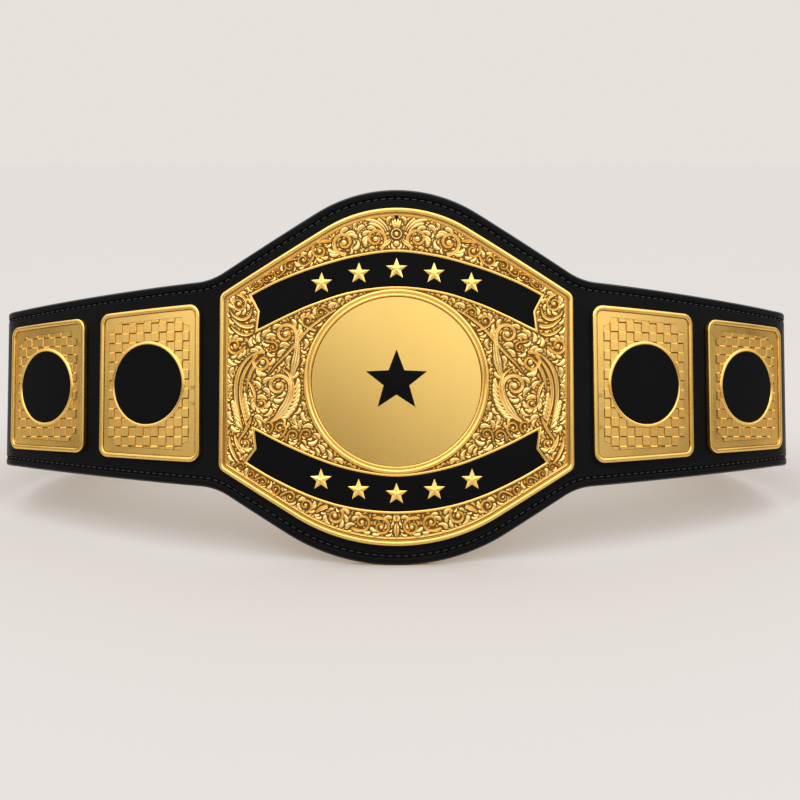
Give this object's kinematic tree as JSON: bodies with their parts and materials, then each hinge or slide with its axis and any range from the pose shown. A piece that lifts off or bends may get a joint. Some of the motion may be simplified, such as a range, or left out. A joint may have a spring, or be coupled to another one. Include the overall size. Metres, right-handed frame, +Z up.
{
  "type": "championship title belt",
  "caption": "Curved leather champion's belt with a tall cast centre plate, enamel banners, round medallion and rectangular side plates.",
  "frame": {"origin": "middle of the bottom of the whole belt, standing on its middle lobe and its two ends", "axes": "+X to the viewer's right, +Y from the centre plate towards the wearer's back, +Z up"},
  "size_m": [0.6552, 0.3438, 0.2644],
  "materials": {
    "gold": "polished gold plating on cast relief",
    "gold_satin": "brushed gold plating",
    "leather": "satin black with fine grain",
    "backing": "matt black suede side",
    "enamel": "smooth black enamel",
    "nickel": "nickel plated fastenings"
  },
  "bodies": {
    "root": {"bottom_banner": "enamel", "center_plate": "gold", "inner_disc_left": "enamel", "inner_disc_right": "enamel", "inner_plate_left": "gold", "inner_plate_right": "gold", "medallion_disc": "gold_satin", "medallion_star": "enamel", "outer_disc_left": "enamel", "outer_disc_right": "enamel", "outer_plate_left": "gold", "outer_plate_right": "gold", "screw_centre_lower_left": "nickel", "screw_centre_lower_right": "nickel", "screw_centre_middle_left": "nickel", "screw_centre_middle_right": "nickel", "screw_centre_upper_left": "nickel", "screw_centre_upper_right": "nickel", "screw_inner_lower_left": "nickel", "screw_inner_lower_right": "nickel", "screw_inner_upper_left": "nickel", "screw_inner_upper_right": "nickel", "screw_outer_lower_left": "nickel", "screw_outer_lower_right": "nickel", "screw_outer_upper_left": "nickel", "screw_outer_upper_right": "nickel", "snap_socket_1": "nickel", "snap_socket_2": "nickel", "snap_socket_3": "nickel", "snap_socket_4": "nickel", "snap_stud_1": "nickel", "snap_stud_2": "nickel", "star_bottom_1": "gold_satin", "star_bottom_2": "gold_satin", "star_bottom_3": "gold_satin", "star_bottom_4": "gold_satin", "star_bottom_5": "gold_satin", "star_top_1": "gold_satin", "star_top_2": "gold_satin", "star_top_3": "gold_satin", "star_top_4": "gold_satin", "star_top_5": "gold_satin", "strap_backing": "backing", "strap_face": "leather", "top_banner": "enamel"}
  },
  "joints": []
}
